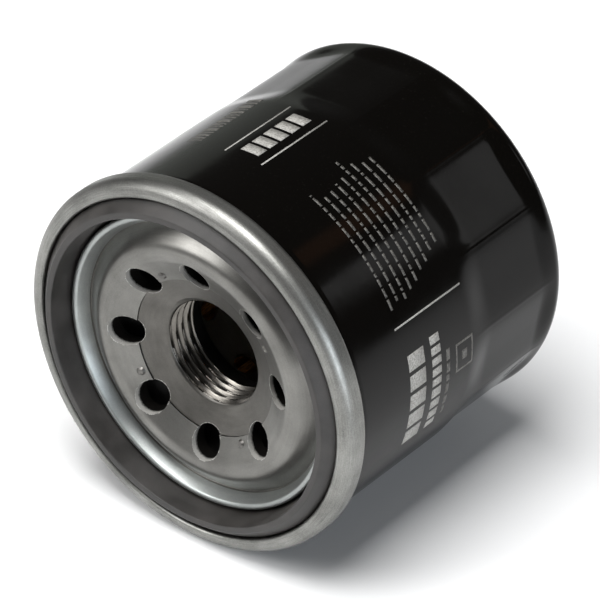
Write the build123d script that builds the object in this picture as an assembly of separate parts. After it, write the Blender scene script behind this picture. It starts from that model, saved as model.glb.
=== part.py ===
from build123d import *
import math
import os

# Compact spin-on oil filter, lying on its side. Millimetres, +Z up.
# The filter's axis is Y. The threaded end faces -Y and the domed end faces +Y, so Y is the depth
# behind the gasket's sealing crown. The origin is the centre of that crown.

# ---- Can: drawn steel cup with a hooked flange, wrench flats and a domed end
CAN_RADIUS = 32.5
CAN_WALL = 0.5
CAN_SHOULDER_Y = 60.7
CAN_CORNER_RADIUS = 2.7
DOME_SLOPE = 13.3
FLAT_COUNT = 14
FLATS_START_Y = 38.2
FLATS_END_Y = 55.8
FLATS_RAMP = 2.2
FLAT_PHASE = 29.1

# ---- Double seam that rolls the lid and the can together
SEAM_OVERHANG = 1.4
SEAM_CROWN_Y = 1.15
SEAM_BACK_Y = 5.75
SEAM_OUTER_BEND = 2.25
SEAM_INNER_BEND = 0.6
SEAM_LAYER_GAP = 0.06
SEAM_WALL_GAP = 0.22
SEAM_COMPOUND_DEPTH = 0.42
SEAM_COMPOUND_WIDTH = 0.45
HOOK_END_GAP = 0.35
HOOK_FILL = 0.48
NECK_LENGTH = 1.1

# ---- Lid: thin pressed steel disc
LID_SHEET = 0.5
LID_EDGE_RADIUS = 14.45
LID_EDGE_Y = 6.08
RIDGE_RADIUS = 20.27
RIDGE_Y = 3.28
RIDGE_BEND = 3.2
GROOVE_RADIUS = 24.75
GROOVE_Y = 6.87
GROOVE_BEND = 0.3
BEAD_CROWN_Y = 3.85
BEAD_INNER_RADIUS = 25.8
BEAD_OUTER_RADIUS = 26.95
CHANNEL_FLOOR_Y = 7.2
CHANNEL_INNER_BEND = 0.45
CHANNEL_OUTER_BEND = 0.6

# ---- Gasket
GASKET_CROWN_INNER_INSET = 1.05
GASKET_CROWN_OUTER_INSET = 1.9
GASKET_SHOULDER_INSET = 0.5
GASKET_SHOULDER_Y = 2.2
GASKET_FIT = 0.1
GASKET_FOOT_BEVEL = 0.6
GASKET_INNER_DRAFT = 0.45

# ---- Base plate with its drawn threaded neck (M20 x 1.5)
PLATE_SHEET = 2.5
PLATE_FOOT_BEND = 1.4
THREAD_MINOR_RADIUS = 9.19
NECK_RADIUS = 12.0
NECK_END_Y = 14.3
PAD_FIT = 0.15
PAD_EDGE_Y = 6.1
PAD_INNER_RADIUS = 11.4
PAD_INNER_Y = 7.25
MOUTH_CHAMFER = 0.7
MOUTH_Y = 7.9
INLET_COUNT = 8
INLET_RADIUS = 2.85
INLET_PITCH_RADIUS = 16.0
INLET_PHASE = 3.6
TACK_COUNT = 4
TACK_RADIUS = 0.75
TACK_HEIGHT = 0.3
TACK_PHASE = 31.7
TACK_MARGIN = 0.25
TACK_TOP_SHARE = 0.6

# ---- Anti-drain-back valve
VALVE_SLEEVE_WALL = 1.4
VALVE_SHEET = 1.2
VALVE_ROOT_Y = 11.9
VALVE_BEND_RADIUS = 17.5
VALVE_BEND_Y = 10.9
VALVE_LIP_RADIUS = 21.4
VALVE_LIP_EASE = 0.45
VALVE_BEND = 4.0
SUPPORT_SHEET = 0.5
SUPPORT_RADIUS = 15.8
SUPPORT_HEIGHT = 1.2

# ---- Filter element
CAP_SHEET = 0.5
CAP_RADIUS = 29.4
CAP_RIM_HEIGHT = 3.5
CAP_BEND = 0.6
HUB_BEND = 0.5
COLLAR_LENGTH = 2.4
LOWER_CAP_Y = 19.0
UPPER_CAP_Y = 53.0
HUB_LENGTH = 4.0
ADHESIVE_DEPTH = 1.0
TUBE_OUTER_RADIUS = 15.0
TUBE_WALL = 0.6
PERFORATION_RADIUS = 2.0
PERFORATION_ROW_PITCH = 7.2
PERFORATIONS_PER_ROW = 8
PERFORATION_MARGIN = 4.2
PERFORATION_PHASE = 22.0
PLEAT_COUNT = 40
PLEAT_RIM_GAP = 0.9
PLEAT_TUBE_GAP = 0.8
PAPER = 0.55
PLEAT_TIP = 0.9
CLIP_SHEET = 0.3
CLIP_DEPTH = 3.4
CLIP_FLARE = 0.08
CLIP_BEND = 0.3

# ---- Bypass valve in the upper end cap
VALVE_PORT_RADIUS = 5.5
SEAT_RADIUS = 11.4
SEAT_SHEET = 0.6
SEAT_BEND = 0.6
SEAT_RIM_HEIGHT = 1.2
SEAL_SHEET = 0.8
SEAL_INNER_RADIUS = 4.2
POPPET_RADIUS = 7.4
POPPET_SHEET = 0.7
STEM_RADIUS = 1.95
CAGE_RADIUS = 9.6
CAGE_SHEET = 0.6
CAGE_DEPTH = 8.6
CAGE_LEGS = 4
CAGE_LEG_WIDTH = 5.0
STEM_OVERHANG = 1.6
STEM_BEVEL = 0.4
CAGE_RING_HEIGHT = 1.2
BYPASS_SPRING_RADIUS = 5.4
BYPASS_SPRING_WIRE = 0.7
BYPASS_SPRING_TURNS = 4.5

# ---- Retaining spring between the element and the dome
LEAF_SHEET = 0.6
LEAF_RING_INNER = 12.6
LEAF_RING_OUTER = 17.5
LEAF_ARMS = 4
LEAF_ARM_WIDTH = 8.0
LEAF_TIP_RADIUS = 25.0
LEAF_FOOT_LENGTH = 2.2
LEAF_ROOT_BEND = 1.5
LEAF_TIP_BEND = 1.2

# ---- Clearances
RUNNING_FIT = 0.05
SEATING_GAP = 0.02
SHEET_GAP = 0.05
DOME_GAP = 0.15


def written(shape, name):
    """Writes one named piece to its own file."""
    export_step(shape, f"parts/{name}.step")


def turned(face):
    """Solid made by turning a section, drawn as X = radius and Y = depth, round the Y axis."""
    return revolve(face, axis=Axis.Y, revolution_arc=360)


def polar(radius, degrees):
    """X and Z of a point at a radius and an angle from +X towards +Z."""
    angle = math.radians(degrees)
    return (radius * math.cos(angle), radius * math.sin(angle))


def parallel(points, distance, closed=False):
    """Corner points of the line that runs at a distance to the left of a chain of points."""
    count = len(points)
    moved = []
    for index, (x, y) in enumerate(points):
        before = points[index - 1] if index > 0 or closed else None
        after = points[(index + 1) % count] if index < count - 1 or closed else None
        normals = []
        for start, end in ((before, (x, y)), ((x, y), after)):
            if start is None or end is None:
                continue
            length = math.dist(start, end)
            normals.append(((start[1] - end[1]) / length, (end[0] - start[0]) / length))
        sum_x = sum(normal[0] for normal in normals)
        sum_y = sum(normal[1] for normal in normals)
        reach = distance * len(normals) / (sum_x**2 + sum_y**2)
        moved.append((x + sum_x * reach, y + sum_y * reach))
    return moved


def sheet_section(points, bends, thickness):
    """Section of a sheet whose middle follows a chain of points with a bend at each corner."""
    with BuildSketch() as section:
        with BuildLine():
            FilletPolyline(*points, radius=bends)
        trace(line_width=thickness)
    return section.sketch


def ring_section(inner, outer, front, back):
    """Rectangular section of a plain ring."""
    return make_face(Polyline((inner, front), (outer, front), (outer, back), (inner, back), close=True))


def plain_ring(inner, outer, front, back):
    """Plain ring about the Y axis."""
    return turned(ring_section(inner, outer, front, back))


def post(radius, centre_radius, degrees, front, back):
    """Round bar along Y, used as a piece or to cut a hole."""
    x, z = polar(centre_radius, degrees)
    return Pos(x, back, z) * Rot(90, 0, 0) * extrude(Circle(radius), back - front)


# ---------------------------------------------------------------- seam layers, from outside in
LID_HALF = LID_SHEET / 2
CAN_HALF = CAN_WALL / 2
layer_step = LID_HALF + SEAM_LAYER_GAP + CAN_HALF
seam_radius = CAN_RADIUS + SEAM_OVERHANG
lid_wall_mid = seam_radius - LID_HALF
can_hook_mid = lid_wall_mid - LID_HALF - SEAM_WALL_GAP - CAN_HALF
lid_hook_mid = can_hook_mid - layer_step
body_hook_mid = lid_hook_mid - layer_step
chuck_mid = body_hook_mid - layer_step
chuck_wall_radius = chuck_mid - LID_HALF
seam_crown_mid = SEAM_CROWN_Y + LID_HALF
lid_curl_mid = SEAM_BACK_Y - LID_HALF
can_hook_top_mid = SEAM_CROWN_Y + LID_SHEET + SEAM_COMPOUND_DEPTH + SHEET_GAP * 2 + CAN_HALF
lid_hook_end = can_hook_top_mid + CAN_HALF + HOOK_END_GAP
can_hook_end = lid_curl_mid - LID_HALF - HOOK_END_GAP


# ---------------------------------------------------------------- dome, part of one sphere
dome_slope = math.radians(DOME_SLOPE)
dome_run = CAN_RADIUS - CAN_CORNER_RADIUS + CAN_CORNER_RADIUS * math.sin(dome_slope)
dome_radius = dome_run / math.sin(dome_slope)
dome_edge_y = CAN_SHOULDER_Y - CAN_CORNER_RADIUS * (1 - math.cos(dome_slope))
dome_centre_y = dome_edge_y - dome_radius * math.cos(dome_slope)


def make_lid():
    """Pressed lid: dished middle, ridge, groove, folded bead, gasket channel and seam hook."""
    bead_in = BEAD_INNER_RADIUS + LID_HALF
    bead_out = BEAD_OUTER_RADIUS - LID_HALF
    crown = BEAD_CROWN_Y + LID_HALF
    floor = CHANNEL_FLOOR_Y + LID_HALF
    points = [
        (LID_EDGE_RADIUS, LID_EDGE_Y),
        (RIDGE_RADIUS, RIDGE_Y),
        (GROOVE_RADIUS, GROOVE_Y),
        (bead_in, crown),
        (bead_out, crown),
        (bead_out, floor),
        (chuck_mid, floor),
        (chuck_mid, seam_crown_mid),
        (lid_wall_mid, seam_crown_mid),
        (lid_wall_mid, lid_curl_mid),
        (lid_hook_mid, lid_curl_mid),
        (lid_hook_mid, lid_hook_end),
    ]
    bead_bend = (bead_out - bead_in) * HOOK_FILL
    curl_bend = (lid_wall_mid - lid_hook_mid) * HOOK_FILL
    bends = [
        RIDGE_BEND - LID_HALF,
        GROOVE_BEND,
        bead_bend,
        bead_bend,
        CHANNEL_INNER_BEND,
        CHANNEL_OUTER_BEND,
        SEAM_INNER_BEND - LID_HALF,
        SEAM_OUTER_BEND - LID_HALF,
        curl_bend,
        curl_bend,
    ]
    lid = turned(sheet_section(points, bends, LID_SHEET))
    for index in range(INLET_COUNT):
        lid -= inlet_cut(index)
    return lid


def inlet_cut(index):
    """Cutter for one inlet hole, which goes through the lid's edge and the plate."""
    degrees = INLET_PHASE + index * 360 / INLET_COUNT
    return post(INLET_RADIUS, INLET_PITCH_RADIUS, degrees, SEAM_CROWN_Y, VALVE_ROOT_Y)


def lid_slope_y(radius):
    """Depth of the sheet's middle on the dished part of the lid."""
    slope = (LID_EDGE_Y - RIDGE_Y) / (RIDGE_RADIUS - LID_EDGE_RADIUS)
    return RIDGE_Y + (RIDGE_RADIUS - radius) * slope


def make_base_plate():
    """Thick tapping plate that backs the lid, with the drawn neck in one piece with it."""
    half = PLATE_SHEET / 2
    flange_y = CHANNEL_FLOOR_Y + LID_SHEET + half
    under_lid = parallel(
        [(NECK_RADIUS, lid_slope_y(NECK_RADIUS)), (RIDGE_RADIUS, RIDGE_Y), (GROOVE_RADIUS, GROOVE_Y)],
        LID_HALF + half,
    )
    _, (knee_r, knee_y), (foot_r, foot_y) = under_lid
    outward = (foot_y - knee_y) / (foot_r - knee_r)
    foot = (knee_r + (flange_y - knee_y) / outward, flange_y)
    rim_r = chuck_mid + LID_HALF - SHEET_GAP
    plate_bend = RIDGE_BEND - LID_SHEET - half
    plate_line = [under_lid[0], (knee_r, knee_y), foot, (rim_r, flange_y)]
    plate = sheet_section(plate_line, [plate_bend, PLATE_FOOT_BEND], PLATE_SHEET)
    pad_radius = LID_EDGE_RADIUS - PAD_FIT
    neck = make_face(
        Polyline(
            (pad_radius, PAD_EDGE_Y),
            (PAD_INNER_RADIUS, PAD_INNER_Y),
            (THREAD_MINOR_RADIUS + MOUTH_CHAMFER, MOUTH_Y),
            (THREAD_MINOR_RADIUS, MOUTH_Y + MOUTH_CHAMFER),
            (THREAD_MINOR_RADIUS, NECK_END_Y),
            (NECK_RADIUS, NECK_END_Y),
            (NECK_RADIUS, lid_slope_y(NECK_RADIUS) + LID_HALF + PLATE_SHEET),
            (pad_radius, lid_slope_y(pad_radius) + LID_HALF + half),
            close=True,
        )
    )
    base = turned(plate + neck)
    for index in range(INLET_COUNT):
        base -= inlet_cut(index)
    return base


def make_tack_welds():
    """Equal low weld buttons on the lid, just outside its inner edge and between the holes."""
    centre_radius = LID_EDGE_RADIUS + TACK_RADIUS + TACK_MARGIN
    slope = math.degrees(math.atan2(LID_EDGE_Y - RIDGE_Y, RIDGE_RADIUS - LID_EDGE_RADIUS))
    surface_y = lid_slope_y(centre_radius) - LID_HALF / math.cos(math.radians(slope))
    top_radius = TACK_RADIUS * TACK_TOP_SHARE
    profile = make_face(
        Polyline((0, 0), (TACK_RADIUS, 0), (top_radius, TACK_HEIGHT), (0, TACK_HEIGHT), close=True)
    )
    button = Rot(0, 0, 180) * turned(profile)
    step = 360 / TACK_COUNT
    seat = Pos(centre_radius, surface_y - SEATING_GAP, 0) * Rot(0, 0, -slope)
    turns = [Rot(0, -(TACK_PHASE + index * step), 0) for index in range(TACK_COUNT)]
    return Compound([turn * (seat * button) for turn in turns])


def make_gasket():
    """Sealing gasket: a tall ring with a narrow flat crown and a sloping outer shoulder."""
    inner = BEAD_OUTER_RADIUS + GASKET_FIT
    outer = chuck_wall_radius - GASKET_FIT
    back = CHANNEL_FLOOR_Y - SEATING_GAP
    section = make_face(
        Polyline(
            (BEAD_OUTER_RADIUS + GASKET_CROWN_INNER_INSET, 0),
            (chuck_wall_radius - GASKET_CROWN_OUTER_INSET, 0),
            (chuck_wall_radius - GASKET_SHOULDER_INSET, GASKET_SHOULDER_Y),
            (outer, back - GASKET_FOOT_BEVEL),
            (outer - GASKET_FOOT_BEVEL, back),
            (inner + GASKET_FOOT_BEVEL, back),
            (inner, back - GASKET_FOOT_BEVEL),
            (inner + GASKET_INNER_DRAFT, BEAD_CROWN_Y),
            close=True,
        )
    )
    return turned(section)


def make_seam_compound():
    """Ring of sealing compound under the seam's crown."""
    front = SEAM_CROWN_Y + LID_SHEET + SHEET_GAP
    inner = chuck_mid + SEAM_INNER_BEND - LID_HALF
    return plain_ring(inner, inner + SEAM_COMPOUND_WIDTH, front + SHEET_GAP, front + SEAM_COMPOUND_DEPTH)


def can_envelope(inset, front):
    """Plain turned shape of the can, set in from its outside: barrel, rounded corner and dome."""
    radius = CAN_RADIUS - inset
    corner = CAN_CORNER_RADIUS - inset
    bend_y = CAN_SHOULDER_Y - CAN_CORNER_RADIUS
    bend = CenterArc((CAN_RADIUS - CAN_CORNER_RADIUS, bend_y), corner, 0, 90 - DOME_SLOPE)
    dome = CenterArc((0, dome_centre_y), dome_radius - inset, 90 - DOME_SLOPE, DOME_SLOPE)
    section = make_face(
        Curve()
        + [
            Line((0, front), (radius, front)),
            Line((radius, front), (radius, bend_y)),
            bend,
            dome,
            Line(dome @ 1, (0, front)),
        ]
    )
    return turned(section)


def flat_cutters(depth_to_flat):
    """Blocks that press one wrench flat each, with a ramp at both of its ends."""
    slope = FLATS_RAMP / (CAN_RADIUS * (1 - math.cos(math.pi / FLAT_COUNT)))
    reach = CAN_RADIUS + 1 - depth_to_flat
    half_width = CAN_RADIUS * math.sin(math.pi / FLAT_COUNT) + 1
    side = make_face(
        Polyline(
            (depth_to_flat, FLATS_START_Y),
            (depth_to_flat, FLATS_END_Y),
            (depth_to_flat + reach, FLATS_END_Y + reach * slope),
            (depth_to_flat + reach, FLATS_START_Y - reach * slope),
            close=True,
        )
    )
    block = extrude(side, half_width, both=True)
    step = 360 / FLAT_COUNT
    return [Rot(0, -(FLAT_PHASE + (index + 0.5) * step), 0) * block for index in range(FLAT_COUNT)]


def make_can():
    """Can: the hollow body with its neck and hooked flange."""
    neck_y = SEAM_BACK_Y + NECK_LENGTH
    flat_depth = CAN_RADIUS * math.cos(math.pi / FLAT_COUNT)
    outer = can_envelope(0, neck_y) - flat_cutters(flat_depth)
    inner = can_envelope(CAN_WALL, neck_y) - flat_cutters(flat_depth - CAN_WALL)
    body_mid = CAN_RADIUS - CAN_HALF
    hook_bend = (can_hook_mid - body_hook_mid) * HOOK_FILL
    flange = sheet_section(
        [
            (body_mid, neck_y),
            (body_mid, neck_y - 0.2),
            (body_hook_mid, SEAM_BACK_Y + 0.05),
            (body_hook_mid, can_hook_top_mid),
            (can_hook_mid, can_hook_top_mid),
            (can_hook_mid, can_hook_end),
        ],
        [0.15, 0.35, hook_bend, hook_bend],
        CAN_WALL,
    )
    return (outer - inner) + turned(flange)


# ---------------------------------------------------------------- valve behind the inlet holes
def make_anti_drainback_valve():
    """Rubber sleeve on the neck with a diaphragm whose lip rests on the back of the plate."""
    inner = NECK_RADIUS + RUNNING_FIT
    outer = inner + VALVE_SLEEVE_WALL
    half = VALVE_SHEET / 2
    outward = (GROOVE_Y - RIDGE_Y) / (GROOVE_RADIUS - RIDGE_RADIUS)
    tilt = math.atan(outward)
    plate_back = (
        RIDGE_Y
        + (VALVE_LIP_RADIUS - RIDGE_RADIUS) * outward
        + (LID_HALF + PLATE_SHEET) / math.cos(tilt)
    )
    lip_y = plate_back + (half + SEATING_GAP) / math.cos(tilt) + VALVE_LIP_EASE
    diaphragm = sheet_section(
        [
            (outer - half, VALVE_ROOT_Y + half),
            (VALVE_BEND_RADIUS, VALVE_BEND_Y),
            (VALVE_LIP_RADIUS, lip_y),
        ],
        [VALVE_BEND],
        VALVE_SHEET,
    )
    sleeve = ring_section(inner, outer, VALVE_ROOT_Y, LOWER_CAP_Y - RUNNING_FIT * 2)
    return turned(diaphragm + sleeve)


def make_valve_support_ring():
    """Thin pressed ring that grips the sleeve and backs the diaphragm's root."""
    half = SUPPORT_SHEET / 2
    grip = NECK_RADIUS + RUNNING_FIT + VALVE_SLEEVE_WALL + SEATING_GAP + half
    fall = (VALVE_ROOT_Y + VALVE_SHEET / 2 - VALVE_BEND_Y) / (VALVE_BEND_RADIUS - grip)
    root_y = VALVE_ROOT_Y + VALVE_SHEET * 1.25 + half
    rim = (SUPPORT_RADIUS, root_y - fall * (SUPPORT_RADIUS - grip))
    section = sheet_section([(grip, root_y + SUPPORT_HEIGHT), (grip, root_y), rim], [0.4], SUPPORT_SHEET)
    return turned(section)


# ---------------------------------------------------------------- filter element
def make_lower_end_cap():
    """Lower end cap: a disc with an outer rim and a hub that slips over the valve's sleeve."""
    half = CAP_SHEET / 2
    hub = NECK_RADIUS + RUNNING_FIT * 2 + VALVE_SLEEVE_WALL + half
    rim = CAP_RADIUS - half
    mid = LOWER_CAP_Y + half
    section = sheet_section(
        [(hub, mid - HUB_LENGTH), (hub, mid), (rim, mid), (rim, mid + CAP_RIM_HEIGHT)],
        [HUB_BEND, CAP_BEND],
        CAP_SHEET,
    )
    return turned(section)


def make_upper_end_cap():
    """Upper end cap: a disc with an outer rim and a collar that holds the bypass valve's seat."""
    half = CAP_SHEET / 2
    collar = SEAT_RADIUS + SHEET_GAP + half
    rim = CAP_RADIUS - half
    mid = UPPER_CAP_Y - half
    collar_end = mid - SEAT_SHEET - COLLAR_LENGTH
    section = sheet_section(
        [(collar, collar_end), (collar, mid), (rim, mid), (rim, mid - CAP_RIM_HEIGHT)],
        [HUB_BEND, CAP_BEND],
        CAP_SHEET,
    )
    return turned(section)


pleat_outer_radius = CAP_RADIUS - CAP_SHEET - PLEAT_RIM_GAP
pleat_inner_radius = TUBE_OUTER_RADIUS + PLEAT_TUBE_GAP
paper_front = LOWER_CAP_Y + CAP_SHEET + ADHESIVE_DEPTH
paper_back = UPPER_CAP_Y - CAP_SHEET - ADHESIVE_DEPTH


def make_adhesive(front, back):
    """Ring of adhesive between an end cap and the pleated paper."""
    return plain_ring(TUBE_OUTER_RADIUS + SHEET_GAP, CAP_RADIUS - CAP_SHEET - CAP_BEND, front, back)


def make_pleated_media():
    """Pleated paper: one closed folded strip, extruded along the element."""
    step = 360 / PLEAT_COUNT
    chain = []
    for index in range(PLEAT_COUNT):
        tips = ((pleat_outer_radius, index * step), (pleat_inner_radius, (index + 0.5) * step))
        for radius, middle in tips:
            spread = math.degrees(PLEAT_TIP / 2 / radius)
            for side in (-spread, spread):
                chain.append(polar(radius, middle + side))
    outer = parallel(chain, -PAPER / 2, closed=True)
    inner = parallel(chain, PAPER / 2, closed=True)
    faces = []
    for loop in (outer, inner):
        faces.append(make_face(Polyline(*[(x, paper_front, z) for x, z in loop], close=True)))
    length = paper_back - paper_front
    filled, hollow = (extrude(face, length, dir=(0, 1, 0)) for face in faces)
    return filled - hollow


def make_pleat_seam_clip():
    """Folded clip over the tip of the pleat where the paper's two ends meet."""
    step = math.radians(360 / PLEAT_COUNT)
    drop = pleat_outer_radius - pleat_inner_radius
    flare = (pleat_inner_radius * step - PLEAT_TIP * 2) / 2 / drop
    reach = CLIP_DEPTH * (flare + CLIP_FLARE)
    gap = PLEAT_TIP / 2 + PAPER / 2 + reach + SHEET_GAP + CLIP_SHEET / 2
    tip = pleat_outer_radius + PAPER / 2 + SHEET_GAP * 2 + CLIP_SHEET / 2
    with BuildSketch(Plane.XZ) as section:
        with BuildLine():
            FilletPolyline(
                (tip - CLIP_DEPTH, -gap),
                (tip, -gap),
                (tip, gap),
                (tip - CLIP_DEPTH, gap),
                radius=CLIP_BEND,
            )
        trace(line_width=CLIP_SHEET)
    length = paper_back - paper_front - 2 * CAP_RIM_HEIGHT
    clip = extrude(section.sketch, length, dir=(0, 1, 0))
    return Pos(0, paper_front + CAP_RIM_HEIGHT, 0) * clip


def make_centre_tube():
    """Perforated centre tube between the two end caps."""
    front = LOWER_CAP_Y + CAP_SHEET + SHEET_GAP
    back = UPPER_CAP_Y - CAP_SHEET - SHEET_GAP
    first_row = LOWER_CAP_Y + PERFORATION_MARGIN
    tube = plain_ring(TUBE_OUTER_RADIUS - TUBE_WALL, TUBE_OUTER_RADIUS, front, back)
    step = 360 / PERFORATIONS_PER_ROW
    rows = int((back - PERFORATION_RADIUS - 1 - first_row) // PERFORATION_ROW_PITCH) + 1
    punches = []
    for row in range(rows):
        depth = first_row + row * PERFORATION_ROW_PITCH
        for index in range(PERFORATIONS_PER_ROW):
            degrees = PERFORATION_PHASE + (index + 0.5 * (row % 2)) * step
            punch = extrude(Plane.YZ * Circle(PERFORATION_RADIUS), TUBE_OUTER_RADIUS + 1)
            punches.append(Rot(0, -degrees, 0) * (Pos(0, depth, 0) * punch))
    return tube - punches


# ---------------------------------------------------------------- bypass valve
seat_front = UPPER_CAP_Y - CAP_SHEET - SEAT_SHEET - SEAT_RIM_HEIGHT
seal_front = seat_front - SEATING_GAP - SEAL_SHEET
poppet_front = seal_front - POPPET_SHEET
cage_floor = seat_front - CAGE_DEPTH


def make_bypass_seat():
    """Pressed seat: a ported disc with a rim that presses into the end cap's collar."""
    half = SEAT_SHEET / 2
    rim = SEAT_RADIUS - half
    mid = seat_front + half
    section = sheet_section(
        [(VALVE_PORT_RADIUS, mid), (rim, mid), (rim, UPPER_CAP_Y - CAP_SHEET)],
        [SEAT_BEND],
        SEAT_SHEET,
    )
    return turned(section)


def make_bypass_cage():
    """Slotted cage: a floor with the stem's guide hole, legs, and a ring under the seat."""
    floor = plain_ring(STEM_RADIUS + RUNNING_FIT, CAGE_RADIUS, cage_floor, cage_floor + CAGE_SHEET)
    wall = plain_ring(CAGE_RADIUS - CAGE_SHEET, CAGE_RADIUS, cage_floor, seat_front - SHEET_GAP)
    window = Box(CAGE_RADIUS * 2, CAGE_DEPTH - CAGE_SHEET * 2 - CAGE_RING_HEIGHT, CAGE_RADIUS * 2)
    window = Pos(0, (cage_floor + seat_front) / 2, 0) * window
    for index in range(CAGE_LEGS // 2):
        bar = Box(CAGE_RADIUS * 3, CAGE_DEPTH, CAGE_LEG_WIDTH)
        window -= Rot(0, index * 360 / CAGE_LEGS, 0) * (Pos(0, (cage_floor + seat_front) / 2, 0) * bar)
    return floor + (wall - window)


def make_bypass_poppet():
    """Poppet: a round plate on a stem that slides in the cage's floor."""
    plate_back = poppet_front + POPPET_SHEET
    stem_end = cage_floor - STEM_OVERHANG
    section = make_face(
        Polyline(
            (0, stem_end),
            (STEM_RADIUS - STEM_BEVEL, stem_end),
            (STEM_RADIUS, stem_end + STEM_BEVEL),
            (STEM_RADIUS, poppet_front),
            (POPPET_RADIUS, poppet_front),
            (POPPET_RADIUS, plate_back),
            (SEAL_INNER_RADIUS - RUNNING_FIT, plate_back),
            (SEAL_INNER_RADIUS - RUNNING_FIT - 0.3, plate_back + SEAL_SHEET),
            (0, plate_back + SEAL_SHEET),
            close=True,
        )
    )
    return turned(section)


def make_bypass_spring():
    """Coil spring between the cage's floor and the poppet."""
    half = BYPASS_SPRING_WIRE / 2
    low = cage_floor + CAGE_SHEET + half + SHEET_GAP
    high = poppet_front - half - SHEET_GAP
    pitch = (high - low) / BYPASS_SPRING_TURNS
    path = Helix(pitch=pitch, height=high - low, radius=BYPASS_SPRING_RADIUS)
    section = Plane(origin=path @ 0, z_dir=path % 0) * Circle(half)
    coil = sweep(section, path=path, is_frenet=True)
    return Pos(0, low, 0) * Rot(-90, 0, 0) * coil


def make_retaining_spring():
    """Leaf spring: a ring on the upper end cap with arms that push on the inside of the dome."""
    half = LEAF_SHEET / 2
    base = UPPER_CAP_Y + SHEET_GAP + half
    inside_radius = dome_radius - CAN_WALL
    dome_y = dome_centre_y + math.sqrt(inside_radius**2 - LEAF_TIP_RADIUS**2)
    tip = dome_y - DOME_GAP - half
    ring = plain_ring(LEAF_RING_INNER, LEAF_RING_OUTER, base - half, base + half)
    with BuildSketch() as section:
        with BuildLine():
            FilletPolyline(
                (LEAF_RING_OUTER - LEAF_ROOT_BEND, base),
                (LEAF_RING_OUTER + LEAF_ROOT_BEND, base),
                (LEAF_TIP_RADIUS - LEAF_FOOT_LENGTH, tip),
                (LEAF_TIP_RADIUS, tip),
                radius=[LEAF_ROOT_BEND, LEAF_TIP_BEND],
            )
        trace(line_width=LEAF_SHEET)
    arm = extrude(section.sketch, LEAF_ARM_WIDTH / 2, both=True)
    spring = ring
    for index in range(LEAF_ARMS):
        spring += Rot(0, index * 360 / LEAF_ARMS, 0) * arm
    return spring


os.makedirs("parts", exist_ok=True)
written(make_can(), "can_shell")
written(make_lid(), "seaming_lid")
written(make_seam_compound(), "seam_compound")
written(make_gasket(), "sealing_gasket")
written(make_base_plate(), "base_plate")
written(make_tack_welds(), "tack_welds")
written(make_anti_drainback_valve(), "anti_drainback_valve")
written(make_valve_support_ring(), "valve_support_ring")
written(make_lower_end_cap(), "lower_end_cap")
written(make_upper_end_cap(), "upper_end_cap")
written(make_adhesive(LOWER_CAP_Y + CAP_SHEET, paper_front), "lower_adhesive")
written(make_adhesive(paper_back, UPPER_CAP_Y - CAP_SHEET), "upper_adhesive")
written(make_pleated_media(), "pleated_media")
written(make_pleat_seam_clip(), "pleat_seam_clip")
written(make_centre_tube(), "centre_tube")
written(make_bypass_seat(), "bypass_valve_seat")
bypass_seal = plain_ring(SEAL_INNER_RADIUS, POPPET_RADIUS, seal_front, seal_front + SEAL_SHEET)
written(bypass_seal, "bypass_valve_seal")
written(make_bypass_poppet(), "bypass_poppet")
written(make_bypass_cage(), "bypass_valve_cage")
written(make_bypass_spring(), "bypass_spring")
written(make_retaining_spring(), "retaining_spring")
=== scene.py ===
"""Compact spin-on oil filter: detailed pieces, finishes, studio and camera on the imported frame.

The filter lies on its side along Y, with the threaded end towards -Y. Sizes are in millimetres
until a mesh is made, and every mesh is in metres.
"""

import logging
import math
import random
from dataclasses import dataclass, field
from enum import Enum
from typing import Any, Iterable, Optional

import bmesh
import bpy
import numpy as np
from mathutils import Matrix, Vector


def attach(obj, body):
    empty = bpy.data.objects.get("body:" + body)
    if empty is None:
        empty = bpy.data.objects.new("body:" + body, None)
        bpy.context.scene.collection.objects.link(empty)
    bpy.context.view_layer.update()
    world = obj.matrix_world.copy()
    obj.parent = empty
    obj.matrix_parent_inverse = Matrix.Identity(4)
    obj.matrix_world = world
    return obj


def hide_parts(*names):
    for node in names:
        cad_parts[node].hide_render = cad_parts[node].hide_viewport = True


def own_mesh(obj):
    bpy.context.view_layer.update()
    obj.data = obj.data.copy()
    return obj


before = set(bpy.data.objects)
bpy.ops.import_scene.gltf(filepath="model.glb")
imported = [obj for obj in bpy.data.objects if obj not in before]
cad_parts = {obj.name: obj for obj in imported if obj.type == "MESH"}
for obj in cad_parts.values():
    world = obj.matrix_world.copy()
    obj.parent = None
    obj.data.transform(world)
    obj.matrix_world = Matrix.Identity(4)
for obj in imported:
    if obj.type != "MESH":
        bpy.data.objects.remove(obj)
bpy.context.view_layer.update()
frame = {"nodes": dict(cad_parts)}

log = logging.getLogger("oil_filter")

MM = 0.001
TURN = 2 * math.pi
Point = tuple[float, float]


class Body(Enum):
    """The rigid bodies that the rebuilt pieces ride on."""

    HOUSING = "housing"
    ELEMENT = "element"


# ------------------------------------------------------------------ colour and node helpers


def linear(hex_colour: str) -> tuple[float, float, float, float]:
    """Turns an sRGB hex colour into linear RGBA.

    Args:
        hex_colour: Colour such as "#8a8780".

    Returns:
        Linear red, green, blue and an alpha of 1.
    """
    channels = [int(hex_colour[start : start + 2], 16) / 255 for start in (1, 3, 5)]
    spread = [c / 12.92 if c <= 0.04045 else ((c + 0.055) / 1.055) ** 2.4 for c in channels]
    return (*spread, 1.0)


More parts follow.
